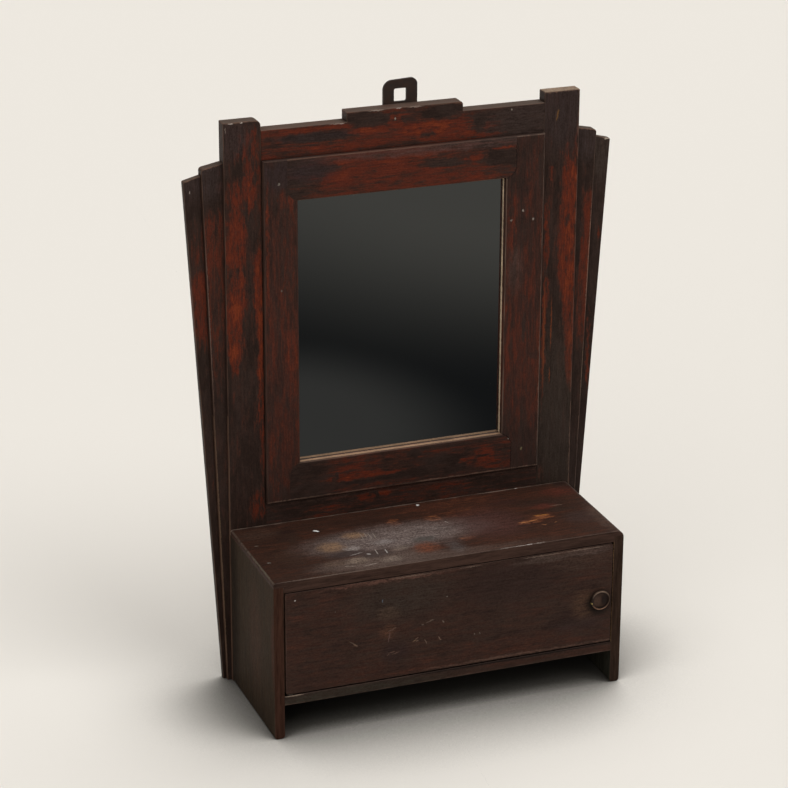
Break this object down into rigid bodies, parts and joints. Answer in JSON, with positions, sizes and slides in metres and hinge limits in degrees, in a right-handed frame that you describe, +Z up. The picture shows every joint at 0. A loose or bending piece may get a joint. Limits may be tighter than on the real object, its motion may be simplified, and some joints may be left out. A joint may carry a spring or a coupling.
{
  "type": "dressing mirror",
  "caption": "Wooden dressing mirror: stepped, winged back with a framed glass and an iron hanger plate, on a low storage box with a side-hung door.",
  "frame": {"origin": "on the floor under the middle of the whole outline", "axes": "+Z up, front towards -Y, +X to the right of someone facing the glass"},
  "size_m": [0.5064, 0.176, 0.6946],
  "materials": {
    "back_wood": "dark stain worn through to red-brown wood along the grain",
    "frame_wood": "dark stain worn through to red-brown wood along the grain",
    "box_wood": "dark brown stain, dull wax shine",
    "raw_board": "bare",
    "mirror": "silvered glass",
    "iron": "dark, lightly rusted",
    "steel": "dull",
    "brass": "darkened brown, bare where rubbed"
  },
  "bodies": {
    "cabinet": {"left_post": "back_wood", "right_post": "back_wood", "top_rail": "back_wood", "lower_rail": "back_wood", "left_inner_wing": "back_wood", "left_outer_wing": "back_wood", "right_inner_wing": "back_wood", "right_outer_wing": "back_wood", "frame_left_stile": "frame_wood", "frame_right_stile": "frame_wood", "frame_top_rail": "frame_wood", "frame_bottom_rail": "frame_wood", "mirror_glass": "mirror", "mirror_back_board": "raw_board", "box_back": "raw_board", "door_stop": "raw_board", "hanger_plate": "iron", "hanger_screws": "steel", "wing_brads": "steel", "glazing_brads": "steel", "top_nails": "steel", "bottom_nails": "steel", "case_screws": "steel", "upper_pivot_pin": "steel", "lower_pivot_pin": "steel", "pivot_washer": "steel", "box_left_side": "box_wood", "box_right_side": "box_wood", "box_top": "box_wood", "box_bottom": "box_wood"},
    "door": {"door_panel": "box_wood", "door_pull": "brass", "pull_screw": "steel"}
  },
  "joints": [
    {"name": "door_hinge", "type": "hinge", "parent": "cabinet", "child": "door", "pos_m": [-0.1906, -0.0805, 0.115], "axis": [0, 0, -1], "range_deg": [0, 95]}
  ]
}
